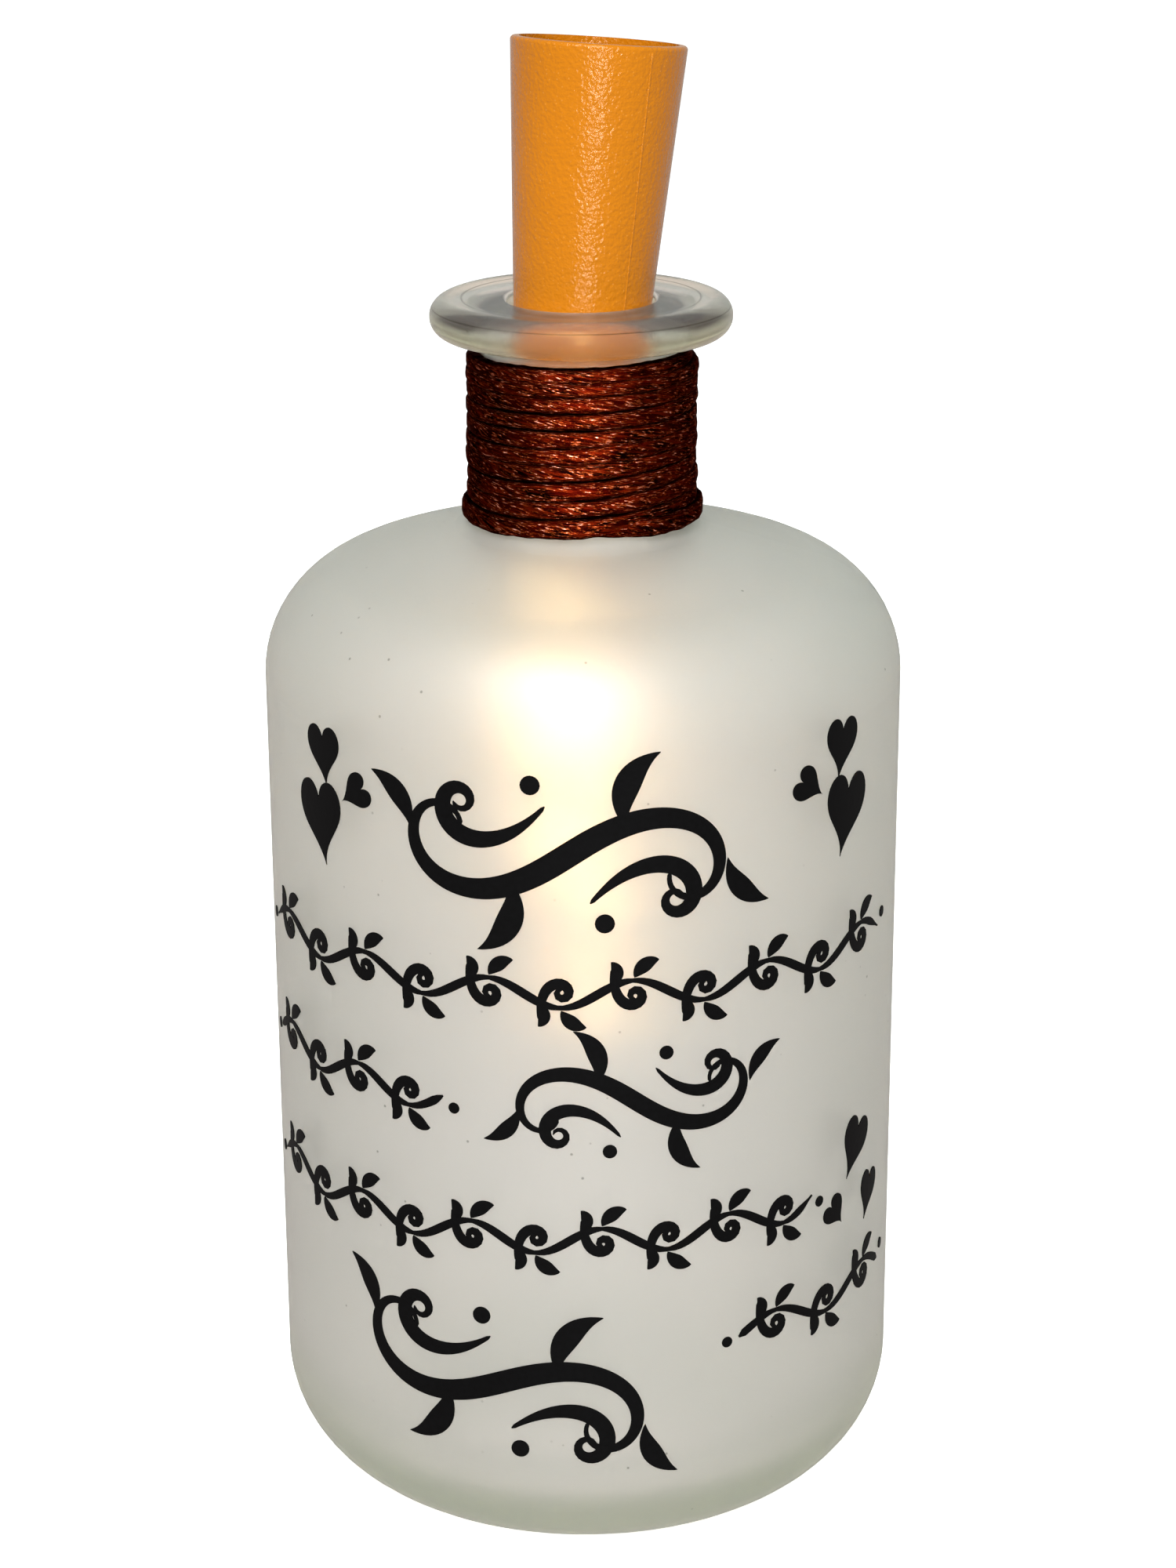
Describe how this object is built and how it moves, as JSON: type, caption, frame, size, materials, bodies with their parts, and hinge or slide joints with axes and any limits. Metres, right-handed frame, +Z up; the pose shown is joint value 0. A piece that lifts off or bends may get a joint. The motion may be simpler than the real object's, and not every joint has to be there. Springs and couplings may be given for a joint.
{
  "type": "cork bottle light",
  "caption": "Frosted glass bottle with a cord-wound neck and a cork-shaped battery light in its mouth, whose string of small lamps hangs inside the bottle.",
  "frame": {"origin": "on the surface that the bottle stands on, under the middle of the bottle", "axes": "+Z up along the bottle's axis, front faces -Y, the cork leans to +X and +Y"},
  "size_m": [0.082, 0.082, 0.1913],
  "materials": {
    "frosted_glass": "acid-frosted, satin",
    "waxed_twine": "waxed twine with loose fibres",
    "cork_plastic": "spark-eroded satin moulding with a fine glitter",
    "black_rubber": "matt",
    "board_green": "solder mask",
    "ceramic_white": "chip resistor",
    "nickel": "nickel plated",
    "brass_strip": "stamped strip",
    "copper_wire": "enamelled twin wire",
    "tray_plastic": "moulded",
    "cell_steel": "button cell can",
    "knob_black": "moulded",
    "red_lead": "insulated lead",
    "lamp_resin": "clear resin drop, lit warm white",
    "clear_sleeve": "heat-sealed end sleeve"
  },
  "bodies": {
    "bottle": {"bottle": "frosted_glass", "neck_twine": "waxed_twine"},
    "cork_light": {"cork_shell": "cork_plastic", "wire_grommet": "black_rubber", "circuit_board": "board_green", "resistor": "ceramic_white", "contact_spring": "nickel", "side_contact": "brass_strip", "inner_lead": "copper_wire", "led_wire": "copper_wire", "led_lamps": "lamp_resin", "wire_end": "clear_sleeve"},
    "battery_tray": {"battery_tray": "tray_plastic", "switch_cap": "cork_plastic", "battery_lower": "cell_steel", "battery_middle": "cell_steel", "battery_upper": "cell_steel", "positive_contact": "brass_strip", "wiper_contact": "brass_strip", "upper_lead": "red_lead", "switch_case": "nickel", "switch_terminals": "nickel"},
    "switch_slider": {"switch_slider": "knob_black"}
  },
  "joints": [
    {"name": "cork_pull", "type": "slide", "parent": "bottle", "child": "cork_light", "axis": [0, 0, 1], "range_m": [0, 0.11]},
    {"name": "tray_pull", "type": "slide", "parent": "cork_light", "child": "battery_tray", "axis": [0.0694, 0.0782, 0.9945], "range_m": [0, 0.033]},
    {"name": "switch_slide", "type": "slide", "parent": "battery_tray", "child": "switch_slider", "axis": [0.9976, 0, -0.0696], "range_m": [0, 0.002]}
  ]
}
